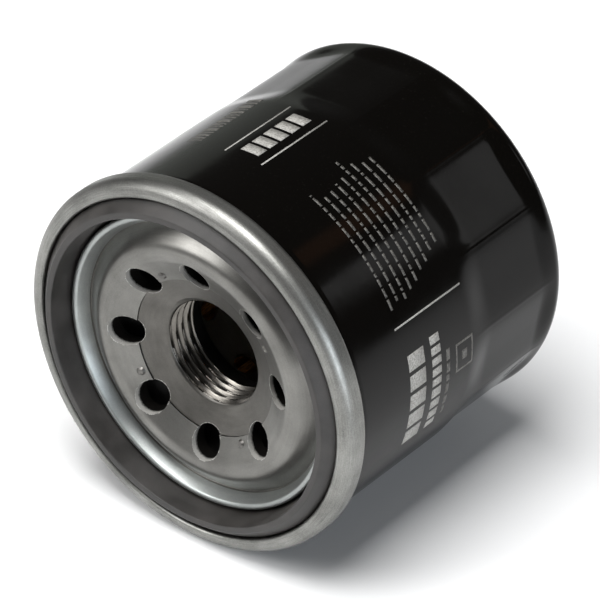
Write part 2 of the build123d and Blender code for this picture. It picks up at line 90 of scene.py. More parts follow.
def add_node(
    tree: bpy.types.NodeTree, kind: str, inputs: Optional[dict[Any, Any]] = None, **settings: Any
) -> bpy.types.Node:
    """Adds a node, sets its properties, and fills its inputs with values or links.

    Args:
        tree: Node tree to add to.
        kind: Blender's type name for the node.
        inputs: Input name or index to a value, or to the output socket that drives it.
        **settings: Properties of the node, such as operation.

    Returns:
        The new node.
    """
    node = tree.nodes.new(kind)
    for name, value in settings.items():
        setattr(node, name, value)
    for key, value in (inputs or {}).items():
        if isinstance(value, bpy.types.NodeSocket):
            tree.links.new(value, node.inputs[key])
        else:
            node.inputs[key].default_value = value
    return node


def blank_material(name: str) -> tuple[bpy.types.Material, bpy.types.NodeTree, bpy.types.Node]:
    """Makes a material with only its shader.

    Args:
        name: Name of the material.

    Returns:
        The material, its node tree and its shader node.
    """
    material = bpy.data.materials.new(name)
    material.use_nodes = True
    return material, material.node_tree, material.node_tree.nodes["Principled BSDF"]


@dataclass(frozen=True)
class TurnedSpace:
    """Coordinates of a turned part in millimetres: its radius, its depth and the arc round it."""

    radius: bpy.types.NodeSocket
    depth: bpy.types.NodeSocket
    arc: bpy.types.NodeSocket
    position: bpy.types.NodeSocket


def turned_space(tree: bpy.types.NodeTree, arc_radius: float) -> TurnedSpace:
    """Adds the nodes that give a point's place on a part turned about Y.

    Args:
        tree: Node tree to add to.
        arc_radius: Radius in millimetres at which the arc is measured.

    Returns:
        The sockets of the coordinates.
    """
    place = add_node(tree, "ShaderNodeTexCoord").outputs["Object"]
    scaled = add_node(
        tree, "ShaderNodeVectorMath", {0: place, "Scale": 1 / MM}, operation="SCALE"
    ).outputs[0]
    parts = add_node(tree, "ShaderNodeSeparateXYZ", {0: scaled})
    flat = add_node(tree, "ShaderNodeCombineXYZ", {0: parts.outputs["X"], 2: parts.outputs["Z"]}).outputs[0]
    radius = add_node(tree, "ShaderNodeVectorMath", {0: flat}, operation="LENGTH").outputs["Value"]
    angle = add_node(
        tree, "ShaderNodeMath", {0: parts.outputs["Z"], 1: parts.outputs["X"]}, operation="ARCTAN2"
    ).outputs[0]
    arc = add_node(tree, "ShaderNodeMath", {0: angle, 1: arc_radius}, operation="MULTIPLY").outputs[0]
    return TurnedSpace(radius, parts.outputs["Y"], arc, scaled)


def colour_between(
    tree: bpy.types.NodeTree, factor: bpy.types.NodeSocket, stops: Iterable[tuple[float, str]]
) -> bpy.types.NodeSocket:
    """Adds a ramp of sRGB hex colours.

    Args:
        tree: Node tree to add to.
        factor: Socket that runs along the ramp.
        stops: Positions and hex colours.

    Returns:
        The ramp's colour socket.
    """
    ramp = add_node(tree, "ShaderNodeValToRGB", {"Fac": factor})
    elements = ramp.color_ramp.elements
    while len(elements) > 1:
        elements.remove(elements[-1])
    for index, (position, colour) in enumerate(stops):
        stop = elements[0] if index == 0 else elements.new(position)
        stop.position = position
        stop.color = linear(colour)
    return ramp.outputs["Color"]


def remap(
    tree: bpy.types.NodeTree, value: bpy.types.NodeSocket, source: Point, target: Point
) -> bpy.types.NodeSocket:
    """Adds a node that maps one range of values to another and holds it at the ends.

    Args:
        tree: Node tree to add to.
        value: Socket to map.
        source: Low and high value that come in.
        target: Values that go out for them.

    Returns:
        The mapped socket.
    """
    inputs = {"Value": value, 1: source[0], 2: source[1], 3: target[0], 4: target[1]}
    return add_node(tree, "ShaderNodeMapRange", inputs).outputs["Result"]


# ------------------------------------------------------------------ finishes


@dataclass(frozen=True)
class BakedEnamel:
    """Gloss black baked enamel on drawn steel: deep black with sharp reflections and faint orange peel.

    The index of refraction is set below a real enamel's 1.5, which keeps the reflections dark.
    """

    colour: str = "#050403"
    dust: str = "#161412"
    roughness: float = 0.1
    peel_mm: float = 1.6
    dust_mm: float = 0.35
    rub_mm: float = 14.0
    index_of_refraction: float = 1.27
    mean_radius: float = 32.5

    def make(self) -> bpy.types.Material:
        """Makes the enamel.

        Returns:
            A material with orange peel in its relief and rubbed, dusty patches in its gloss.
        """
        material, tree, shader = blank_material("gloss_black_baked_enamel")
        space = turned_space(tree, self.mean_radius)
        rubbed = add_node(
            tree, "ShaderNodeTexNoise", {"Vector": space.position, "Scale": 1 / self.rub_mm, "Detail": 4.0}
        ).outputs["Fac"]
        specks = add_node(
            tree, "ShaderNodeTexNoise", {"Vector": space.position, "Scale": 1 / self.dust_mm, "Detail": 2.0}
        ).outputs["Fac"]
        dusty = remap(tree, specks, (0.66, 0.78), (0.0, 1.0))
        colour = colour_between(tree, dusty, ((0.0, self.colour), (1.0, self.dust)))
        gloss = remap(tree, rubbed, (0.35, 0.7), (self.roughness, self.roughness * 2.0))
        peel = add_node(
            tree, "ShaderNodeTexNoise", {"Vector": space.position, "Scale": 1 / self.peel_mm, "Detail": 1.0}
        ).outputs["Fac"]
        relief = add_node(
            tree, "ShaderNodeBump", {"Height": peel, "Strength": 0.25, "Distance": 0.00002}
        ).outputs["Normal"]
        tree.links.new(colour, shader.inputs["Base Color"])
        tree.links.new(gloss, shader.inputs["Roughness"])
        tree.links.new(relief, shader.inputs["Normal"])
        shader.inputs["IOR"].default_value = self.index_of_refraction
        return material


@dataclass(frozen=True)
class ZincPlate:
    """Plated or bare steel: satin, with streaks that run round it and a fine grain."""

    name: str
    light: str = "#c2c0ba"
    dark: str = "#8d8b85"
    roughness: float = 0.34
    streak_mm: float = 0.22
    streak_length_mm: float = 9.0
    grain_mm: float = 0.16
    relief_m: float = 0.00002
    streaks: float = 1.0
    cloud_mm: float = 6.0
    wear_range: Point = (0.62, 1.22)
    mean_radius: float = 32.0

    def make(self) -> bpy.types.Material:
        """Makes the plating.

        Returns:
            A metal whose colour, gloss and relief follow streaks round the axis and a fine grain.
        """
        material, tree, shader = blank_material(self.name)
        space = turned_space(tree, self.mean_radius)
        across = add_node(
            tree, "ShaderNodeVectorMath", {0: space.position, 1: (0.0, 1.0, 0.0)}, operation="MULTIPLY"
        ).outputs[0]
        deep = add_node(tree, "ShaderNodeVectorMath", {0: across}, operation="LENGTH").outputs["Value"]
        lanes = add_node(tree, "ShaderNodeMath", {0: space.radius, 1: deep}, operation="ADD").outputs[0]
        lane_place = add_node(
            tree, "ShaderNodeMath", {0: lanes, 1: 1 / self.streak_mm}, operation="MULTIPLY"
        ).outputs[0]
        arc_place = add_node(
            tree, "ShaderNodeMath", {0: space.arc, 1: 1 / self.streak_length_mm}, operation="MULTIPLY"
        ).outputs[0]
        stretched = add_node(tree, "ShaderNodeCombineXYZ", {0: lane_place, 1: arc_place}).outputs[0]
        streak = add_node(
            tree, "ShaderNodeTexNoise", {"Vector": stretched, "Scale": 1.0, "Detail": 3.0}
        ).outputs["Fac"]
        grain = add_node(
            tree, "ShaderNodeTexNoise", {"Vector": space.position, "Scale": 1 / self.grain_mm, "Detail": 3.0}
        ).outputs["Fac"]
        cloud = add_node(
            tree, "ShaderNodeTexNoise", {"Vector": space.position, "Scale": 1 / self.cloud_mm, "Detail": 3.0}
        ).outputs["Fac"]
        mixed = add_node(
            tree,
            "ShaderNodeMath",
            {0: streak, 1: self.streaks * 0.5, 2: 0.5 - self.streaks * 0.25},
            operation="MULTIPLY_ADD",
        ).outputs[0]
        grained = add_node(
            tree, "ShaderNodeMath", {0: grain, 1: 0.35, 2: mixed}, operation="MULTIPLY_ADD"
        ).outputs[0]
        clouded = add_node(
            tree, "ShaderNodeMath", {0: cloud, 1: 0.5, 2: grained}, operation="MULTIPLY_ADD"
        ).outputs[0]
        wear = remap(tree, clouded, self.wear_range, (0.0, 1.0))
        colour = colour_between(tree, wear, ((0.0, self.dark), (1.0, self.light)))
        gloss = remap(tree, clouded, self.wear_range, (self.roughness * 1.25, self.roughness * 0.8))
        relief = add_node(
            tree, "ShaderNodeBump", {"Height": grained, "Strength": 0.6, "Distance": self.relief_m}
        ).outputs["Normal"]
        tree.links.new(colour, shader.inputs["Base Color"])
        tree.links.new(gloss, shader.inputs["Roughness"])
        tree.links.new(relief, shader.inputs["Normal"])
        shader.inputs["Metallic"].default_value = 1.0
        return material


@dataclass(frozen=True)
class PunchedEdge:
    """Punched hole wall: a bright burnished band under the face, then a dark torn zone that is mostly painted
    shade of the deep hole.
    """

    bright: str = "#b0aea9"
    # near-black end of the wall's ramp: painted shade deep in the hole over a darker torn zone
    torn_and_painted_shade: str = "#141210"
    face_at_ridge: Point = (20.27, 3.0)
    slope: float = 0.481
    band: Point = (0.75, 1.25)
    tear_mm: float = 0.35
    ragged_mm: float = 0.5

    def make(self) -> bpy.types.Material:
        """Makes the wall.

        Returns:
            A metal that turns dark and rough below a band that follows the dished face; the dark is painted
            shade deep in the hole over a torn zone.
        """
        material, tree, shader = blank_material("punched_edge_steel")
        space = turned_space(tree, self.face_at_ridge[0])
        tears = add_node(
            tree, "ShaderNodeTexNoise", {"Vector": space.position, "Scale": 1 / self.tear_mm, "Detail": 3.0}
        ).outputs["Fac"]
        sloped = add_node(
            tree,
            "ShaderNodeMath",
            {0: space.radius, 1: self.slope, 2: -self.slope * self.face_at_ridge[0] - self.face_at_ridge[1]},
            operation="MULTIPLY_ADD",
        ).outputs[0]
        below = add_node(tree, "ShaderNodeMath", {0: space.depth, 1: sloped}, operation="ADD").outputs[0]
        ragged = add_node(
            tree, "ShaderNodeMath", {0: tears, 1: self.ragged_mm, 2: below}, operation="MULTIPLY_ADD"
        ).outputs[0]
        middle = self.ragged_mm / 2
        # mask below the bright band: torn zone and painted shade of the deep hole
        torn_and_painted_shade = remap(tree, ragged, (self.band[0] + middle, self.band[1] + middle), (0.0, 1.0))
        relief = add_node(
            tree, "ShaderNodeBump", {"Height": tears, "Strength": 0.5, "Distance": 0.00004}
        ).outputs["Normal"]
        colour = colour_between(tree, torn_and_painted_shade, ((0.0, self.bright), (1.0, self.torn_and_painted_shade)))
        tree.links.new(colour, shader.inputs["Base Color"])
        tree.links.new(remap(tree, torn_and_painted_shade, (0.0, 1.0), (0.34, 0.75)), shader.inputs["Roughness"])
        tree.links.new(remap(tree, torn_and_painted_shade, (0.0, 1.0), (0.25, 0.9)), shader.inputs["Metallic"])
        tree.links.new(relief, shader.inputs["Normal"])
        return material


@dataclass(frozen=True)
class MouldedRubber:
    """Compression-moulded nitrile or silicone: dark, soft-edged gloss, with a dry grey bloom."""

    name: str
    dark: str = "#1f1d1b"
    bloom: str = "#3b3834"
    roughness: float = 0.52
    bloom_mm: float = 5.0
    grain_mm: float = 0.12
    bloom_range: Point = (0.5, 0.85)
    mean_radius: float = 29.0

    def make(self) -> bpy.types.Material:
        """Makes the rubber.

        Returns:
            A dark material with bloom in soft patches and a fine moulded grain.
        """
        material, tree, shader = blank_material(self.name)
        space = turned_space(tree, self.mean_radius)
        patches = add_node(
            tree, "ShaderNodeTexNoise", {"Vector": space.position, "Scale": 1 / self.bloom_mm, "Detail": 5.0}
        ).outputs["Fac"]
        grain = add_node(
            tree, "ShaderNodeTexNoise", {"Vector": space.position, "Scale": 1 / self.grain_mm, "Detail": 2.0}
        ).outputs["Fac"]
        mixed = add_node(
            tree, "ShaderNodeMath", {0: grain, 1: 0.3, 2: patches}, operation="MULTIPLY_ADD"
        ).outputs[0]
        bloomed = remap(tree, mixed, self.bloom_range, (0.0, 1.0))
        colour = colour_between(tree, bloomed, ((0.0, self.dark), (1.0, self.bloom)))
        gloss = remap(tree, mixed, self.bloom_range, (self.roughness * 0.85, self.roughness * 1.15))
        relief = add_node(
            tree, "ShaderNodeBump", {"Height": mixed, "Strength": 0.5, "Distance": 0.00003}
        ).outputs["Normal"]
        tree.links.new(colour, shader.inputs["Base Color"])
        tree.links.new(gloss, shader.inputs["Roughness"])
        tree.links.new(relief, shader.inputs["Normal"])
        shader.inputs["IOR"].default_value = 1.52
        return material


@dataclass(frozen=True)
class ScreenInk:
    """Screen-printed epoxy ink: a thin matt film whose weight varies with the screen's mesh."""

    name: str
    full: str
    thin: str
    screen_mm: float = 0.3
    mean_radius: float = 32.5

    def make(self) -> bpy.types.Material:
        """Makes the ink.

        Returns:
            A matt material with uneven cover.
        """
        material, tree, shader = blank_material(self.name)
        space = turned_space(tree, self.mean_radius)
        cover = add_node(
            tree, "ShaderNodeTexNoise", {"Vector": space.position, "Scale": 1 / self.screen_mm, "Detail": 3.0}
        ).outputs["Fac"]
        weight = remap(tree, cover, (0.35, 0.6), (0.0, 1.0))
        colour = colour_between(tree, weight, ((0.0, self.thin), (1.0, self.full)))
        tree.links.new(colour, shader.inputs["Base Color"])
        tree.links.new(remap(tree, cover, (0.3, 0.7), (0.42, 0.6)), shader.inputs["Roughness"])
        shader.inputs["IOR"].default_value = 1.5
        return material


@dataclass(frozen=True)
class ResinPaper:
    """Resin-treated filter paper: amber, matt and fibrous, darker where the resin has pooled."""

    name: str = "resin_treated_paper"
    pale: str = "#d79a45"
    deep: str = "#94571b"
    fibre_mm: float = 0.25
    mean_radius: float = 22.0

    def make(self) -> bpy.types.Material:
        """Makes the paper.

        Returns:
            A fibrous amber material.
        """
        material, tree, shader = blank_material(self.name)
        space = turned_space(tree, self.mean_radius)
        drawn = add_node(
            tree, "ShaderNodeVectorMath", {0: space.position, 1: (1.0, 0.25, 1.0)}, operation="MULTIPLY"
        ).outputs[0]
        fibre = add_node(
            tree, "ShaderNodeTexNoise", {"Vector": drawn, "Scale": 1 / self.fibre_mm, "Detail": 5.0}
        ).outputs["Fac"]
        relief = add_node(
            tree, "ShaderNodeBump", {"Height": fibre, "Strength": 0.7, "Distance": 0.00006}
        ).outputs["Normal"]
        dryness = remap(tree, fibre, (0.35, 0.65), (0.0, 1.0))
        colour = colour_between(tree, dryness, ((0.0, self.deep), (1.0, self.pale)))
        tree.links.new(colour, shader.inputs["Base Color"])
        tree.links.new(remap(tree, fibre, (0.3, 0.7), (0.7, 0.9)), shader.inputs["Roughness"])
        tree.links.new(relief, shader.inputs["Normal"])
        return material


@dataclass(frozen=True)
class CuredResin:
    """Plastisol or seam compound cured in place: slightly glossy, mottled and lumpy."""

    name: str
    pale: str
    deep: str
    lump_mm: float = 1.2
    mean_radius: float = 22.0

    def make(self) -> bpy.types.Material:
        """Makes the resin.

        Returns:
            A mottled, soft-gloss material.
        """
        material, tree, shader = blank_material(self.name)
        space = turned_space(tree, self.mean_radius)
        lumps = add_node(
            tree, "ShaderNodeTexNoise", {"Vector": space.position, "Scale": 1 / self.lump_mm, "Detail": 4.0}
        ).outputs["Fac"]
        relief = add_node(
            tree, "ShaderNodeBump", {"Height": lumps, "Strength": 0.6, "Distance": 0.0001}
        ).outputs["Normal"]
        height = remap(tree, lumps, (0.35, 0.65), (0.0, 1.0))
        colour = colour_between(tree, height, ((0.0, self.deep), (1.0, self.pale)))
        tree.links.new(colour, shader.inputs["Base Color"])
        tree.links.new(remap(tree, lumps, (0.3, 0.7), (0.38, 0.55)), shader.inputs["Roughness"])
        tree.links.new(relief, shader.inputs["Normal"])
        return material


@dataclass(frozen=True)
class SweepPaper:
    """Matt white background paper, with only a trace of tooth."""

    colour: str = "#f4f4f4"
    tooth_mm: float = 1.5
    mean_radius: float = 30.0

    def make(self) -> bpy.types.Material:
        """Makes the paper.

        Returns:
            A matt near-white material.
        """
        material, tree, shader = blank_material("white_sweep_paper")
        space = turned_space(tree, self.mean_radius)
        tooth = add_node(
            tree, "ShaderNodeTexNoise", {"Vector": space.position, "Scale": 1 / self.tooth_mm, "Detail": 2.0}
        ).outputs["Fac"]
        relief = add_node(
            tree, "ShaderNodeBump", {"Height": tooth, "Strength": 0.1, "Distance": 0.00002}
        ).outputs["Normal"]
        shader.inputs["Base Color"].default_value = linear(self.colour)
        shader.inputs["Roughness"].default_value = 0.9
        tree.links.new(relief, shader.inputs["Normal"])
        return material


# ------------------------------------------------------------------ outlines and meshes


def parallel(points: list[Point], distance: float) -> list[Point]:
    """Corner points of the line at a distance to the left of an open chain of points.

    Args:
        points: Corners of the chain.
        distance: How far to move it, in the points' unit.

    Returns:
        The moved corners.
    """
    normals = []
    for start, end in zip(points, points[1:]):
        length = math.dist(start, end)
        normals.append(((start[1] - end[1]) / length, (end[0] - start[0]) / length))
    moved = []
    for index, (x, y) in enumerate(points):
        sides = normals[max(index - 1, 0) : index + 1]
        sum_x = sum(side[0] for side in sides)
        sum_y = sum(side[1] for side in sides)
        reach = distance * len(sides) / (sum_x**2 + sum_y**2)
        moved.append((x + sum_x * reach, y + sum_y * reach))
    return moved


def rounded(points: list[Point], bends: list[float], closed: bool, step: float = 0.35) -> list[Point]:
    """Outline with its corners bent to arcs and its straight runs divided.

    Args:
        points: Corners of the outline.
        bends: Bend radius at each corner; the two ends of an open outline have none.
        closed: Whether the outline closes on itself.
        step: Longest straight piece.

    Returns:
        Points along the outline.
    """
    count = len(points)
    stations: list[list[Point]] = []
    corners = range(count) if closed else range(1, count - 1)
    for index, bend in zip(corners, bends):
        corner = Vector(points[index])
        back = (Vector(points[index - 1]) - corner).normalized()
        ahead = (Vector(points[(index + 1) % count]) - corner).normalized()
        half = back.angle(ahead) / 2
        reach = bend / math.tan(half)
        centre = corner + (back + ahead).normalized() * (bend / math.sin(half))
        start = corner + back * reach - centre
        sweep = math.pi - 2 * half
        turn = math.copysign(sweep, back.x * ahead.y - back.y * ahead.x) * -1
        divisions = max(2, math.ceil(sweep / math.radians(9)))
        arc = []
        for part in range(divisions + 1):
            angle = turn * part / divisions
            arc.append(
                (
                    centre.x + start.x * math.cos(angle) - start.y * math.sin(angle),
                    centre.y + start.x * math.sin(angle) + start.y * math.cos(angle),
                )
            )
        stations.append(arc)
    if not closed:
        stations = [[points[0]], *stations, [points[-1]]]
    line: list[Point] = []
    for index, arc in enumerate(stations):
        line.extend(arc)
        if index == len(stations) - 1 and not closed:
            break
        following = stations[(index + 1) % len(stations)][0]
        pieces = max(1, math.ceil(math.dist(arc[-1], following) / step))
        for part in range(1, pieces):
            share = part / pieces
            line.append(
                (
                    arc[-1][0] + (following[0] - arc[-1][0]) * share,
                    arc[-1][1] + (following[1] - arc[-1][1]) * share,
                )
            )
    return line


def thickened(line: list[Point], thickness: float) -> list[Point]:
    """Closed outline of a sheet whose middle is a line.

    Args:
        line: Points along the middle.
        thickness: Thickness of the sheet.

    Returns:
        Points round the sheet.
    """
    left = parallel(line, thickness / 2)
    right = parallel(line, -thickness / 2)
    return left + right[::-1]


def mesh_object(
    name: str, vertices: Iterable[Any], faces: Iterable[Any], sharp: float = 40.0
) -> bpy.types.Object:
    """Makes a clean, smooth-shaded mesh object.

    Args:
        name: Name of the piece.
        vertices: Places in metres.
        faces: Vertex indices of each face.
        sharp: Angle in degrees above which an edge stays sharp.

    Returns:
        The object, linked to the scene.
    """
    mesh = bpy.data.meshes.new(name)
    mesh.from_pydata(vertices, [], faces)
    work = bmesh.new()
    work.from_mesh(mesh)
    bmesh.ops.remove_doubles(work, verts=work.verts, dist=1e-7)
    bmesh.ops.recalc_face_normals(work, faces=work.faces)
    work.to_mesh(mesh)
    work.free()
    mesh.shade_smooth()
    mesh.set_sharp_from_angle(angle=math.radians(sharp))
    piece = bpy.data.objects.new(name, mesh)
    bpy.context.scene.collection.objects.link(piece)
    return piece


def turned(
    name: str, radii: np.ndarray, depths: np.ndarray, closed: bool, sharp: float = 40.0
) -> bpy.types.Object:
    """Makes a piece from one section for each angle round the Y axis.

    Args:
        name: Name of the piece.
        radii: Radius of each point in millimetres, one row for each angle.
        depths: Depth of each point in millimetres, in the same order.
        closed: Whether each section closes on itself.
        sharp: Angle in degrees above which an edge stays sharp.

    Returns:
        The object.
    """
    segments, count = radii.shape
    angles = np.linspace(0, TURN, segments, endpoint=False)[:, None]
    places = np.stack((radii * np.cos(angles), depths, radii * np.sin(angles)), axis=-1) * MM
    ring = np.arange(segments)[:, None]
    step = np.arange(count if closed else count - 1)[None, :]
    far_ring = (ring + 1) % segments
    far_step = (step + 1) % count
    corners = (
        ring * count + step,
        ring * count + far_step,
        far_ring * count + far_step,
        far_ring * count + step,
    )
    faces = np.stack(corners, axis=-1).reshape(-1, 4)
    return mesh_object(name, places.reshape(-1, 3).tolist(), faces.tolist(), sharp)


def turned_outline(
    name: str, outline: list[Point], segments: int = 360, sharp: float = 40.0
) -> bpy.types.Object:
    """Makes a piece by turning one closed outline round the Y axis.

    Args:
        name: Name of the piece.
        outline: Radius and depth of each point in millimetres.
        segments: How many sections go round.
        sharp: Angle in degrees above which an edge stays sharp.

    Returns:
        The object.
    """
    section = np.array(outline)
    radii = np.tile(section[:, 0], (segments, 1))
    depths = np.tile(section[:, 1], (segments, 1))
    return turned(name, radii, depths, True, sharp)


def apply_modifiers(piece: bpy.types.Object, sharp: float = 40.0) -> None:
    """Bakes a piece's modifiers into its mesh and shades it again.

    Args:
        piece: The piece.
        sharp: Angle in degrees above which an edge stays sharp.
    """
    bpy.context.view_layer.update()
    shaped = piece.evaluated_get(bpy.context.evaluated_depsgraph_get())
    mesh = bpy.data.meshes.new_from_object(shaped)
    piece.modifiers.clear()
    piece.data = mesh
    mesh.shade_smooth()
    mesh.set_sharp_from_angle(angle=math.radians(sharp))


@dataclass(frozen=True)
class InletHoles:
    """The ring of inlet holes that goes through the lid's edge and the plate."""

    count: int = 8
    radius: float = 2.85
    pitch_radius: float = 16.0
    phase: float = 3.6
    front: float = -1.0
    back: float = 12.5
    sides: int = 72
    wall_tolerance: float = 0.04

    def cut(self, piece: bpy.types.Object) -> None:
        """Cuts the holes out of a piece.

        Args:
            piece: A closed mesh.
        """
        work = bmesh.new()
        middle = (self.front + self.back) / 2
        for index in range(self.count):
            angle = math.radians(self.phase + index * 360 / self.count)
            across = math.cos(angle) * self.pitch_radius
            up = math.sin(angle) * self.pitch_radius
            place = Vector((across, middle, up))
            bmesh.ops.create_cone(
                work,
                cap_ends=True,
                segments=self.sides,
                radius1=self.radius * MM,
                radius2=self.radius * MM,
                depth=(self.back - self.front) * MM,
                matrix=Matrix.Translation(place * MM) @ Matrix.Rotation(math.pi / 2, 4, "X"),
            )
        mesh = bpy.data.meshes.new("inlet_hole_cutter")
        work.to_mesh(mesh)
        work.free()
        cutter = bpy.data.objects.new("inlet_hole_cutter", mesh)
        bpy.context.scene.collection.objects.link(cutter)
        cut = piece.modifiers.new("inlet_holes", "BOOLEAN")
        cut.operation = "DIFFERENCE"
        cut.solver = "EXACT"
        cut.object = cutter
        apply_modifiers(piece, 35.0)
        bpy.data.objects.remove(cutter)

    def has_wall(self, face: bpy.types.MeshPolygon) -> bool:
        """Tells whether a face is part of a hole's punched wall.

        Args:
            face: Face of a piece that the holes were cut from.

        Returns:
            True for a wall's face.
        """
        step = TURN / self.count
        phase = math.radians(self.phase)
        angle = phase + round((math.atan2(face.center.z, face.center.x) - phase) / step) * step
        across = face.center.x / MM - math.cos(angle) * self.pitch_radius
        up = face.center.z / MM - math.sin(angle) * self.pitch_radius
        return abs(math.hypot(across, up) - self.radius) < self.wall_tolerance


def dress_piece(
    piece: bpy.types.Object, body: Body, slot: str, materials: list[bpy.types.Material], *nodes: str
) -> None:
    """Gives a piece its materials, its body and the CAD nodes that it stands for.

    Args:
        piece: The piece.
        body: Body that it rides on.
        slot: Material slot; not used.
        materials: Materials in slot order.
        *nodes: CAD nodes that it replaces.
    """
    piece.data.materials.clear()
    for material in materials:
        piece.data.materials.append(material)
    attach(piece, body.value)
    if nodes:
        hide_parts(*nodes)
    log.info("%s: %d faces, rides on %s", piece.name, len(piece.data.polygons), body.value)


# ------------------------------------------------------------------ sub-assemblies


@dataclass
class Can:
    """Drawn can: straight barrel, a ring of soft wrench flats and a shallow dome, in one skin."""

    radius: float = 32.5
    wall: float = 0.5
    neck_depth: float = 6.3
    neck_radius: float = 32.1
    shoulder: float = 60.7
    corner: float = 2.7
    dome_slope: float = 13.3
    flats: int = 14
    flat_phase: float = 29.1
    flats_in: Point = (34.6, 41.0)
    flats_out: Point = (54.6, 58.4)
    ridge_ease: float = 0.045
    ease_drop: float = 0.2
    ridge_lip: float = 0.045
    ridge_lip_width: float = 0.35
    segments: int = 1008

    def profile(self) -> list[Point]:
        """Skin's outer line from the neck to the centre of the dome.

        Returns:
            Radius and depth of each point.
        """
        slope = math.radians(self.dome_slope)
        edge = self.radius - self.corner
        straight_end = self.shoulder - self.corner
        first = self.neck_depth + 0.9
        line = [(self.neck_radius, self.neck_depth - 0.4), (self.neck_radius + 0.2, self.neck_depth)]
        line += [(self.radius - 0.1, self.neck_depth + 0.45), (self.radius, first)]
        steps = 130
        run = straight_end - first
        line += [(self.radius, first + run * part / steps) for part in range(1, steps + 1)]
        for part in range(1, 19):
            angle = (math.pi / 2 - slope) * part / 18
            across = edge + self.corner * math.cos(angle)
            line.append((across, straight_end + self.corner * math.sin(angle)))
        edge_radius, edge_depth = line[-1]
        sphere = edge_radius / math.sin(slope)
        centre = edge_depth - sphere * math.cos(slope)
        for part in range(1, 41):
            angle = slope * (1 - part / 40)
            line.append((sphere * math.sin(angle), centre + sphere * math.cos(angle)))
        return line

    def flat_radius(self, angle: np.ndarray) -> np.ndarray:
        """Distance from the axis to the ring of flats, with eased ridges that carry a faint lip.

        Args:
            angle: Angles from +X towards +Z in radians.

        Returns:
            The distance for each angle.
        """
        step = TURN / self.flats
        from_ridge = (angle - math.radians(self.flat_phase)) % step
        to_ridge = step / 2 - np.abs(from_ridge - step / 2)
        inside = self.radius * math.cos(step / 2)
        eased = np.sqrt(to_ridge**2 + self.ridge_ease**2) - self.ridge_ease * self.ease_drop
        flat = inside / np.cos(np.clip(step / 2 - eased, 0, None))
        lip = self.ridge_lip * np.exp(-((to_ridge * self.radius / self.ridge_lip_width) ** 2))
        return np.minimum(flat, self.radius) + lip

    def build(self) -> bpy.types.Object:
        """Builds the skin.

        Returns:
            The can.
        """
        line = np.array(self.profile())
        angles = np.linspace(0, TURN, self.segments, endpoint=False)[:, None]
        radii = np.tile(line[:, 0], (self.segments, 1))
        depths = np.tile(line[:, 1], (self.segments, 1))
        rise = np.clip((depths - self.flats_in[0]) / (self.flats_in[1] - self.flats_in[0]), 0, 1)
        fall = np.clip((self.flats_out[1] - depths) / (self.flats_out[1] - self.flats_out[0]), 0, 1)
        share = rise * rise * (3 - 2 * rise) * fall * fall * (3 - 2 * fall)
        barrel = radii > self.radius - 0.2
        radii = np.where(barrel, radii + (self.flat_radius(angles) - self.radius) * share, radii)
        piece = turned("can_shell_drawn", radii, depths, False, 60.0)
        skin = piece.modifiers.new("sheet", "SOLIDIFY")
        skin.thickness = self.wall * MM
        skin.offset = -1.0
        return piece

    def dress(self, piece: bpy.types.Object) -> None:
        """Enamels the can.

        Args:
            piece: The can.
        """
        dress_piece(piece, Body.HOUSING, "can_enamel", [BakedEnamel().make()], "can_shell")


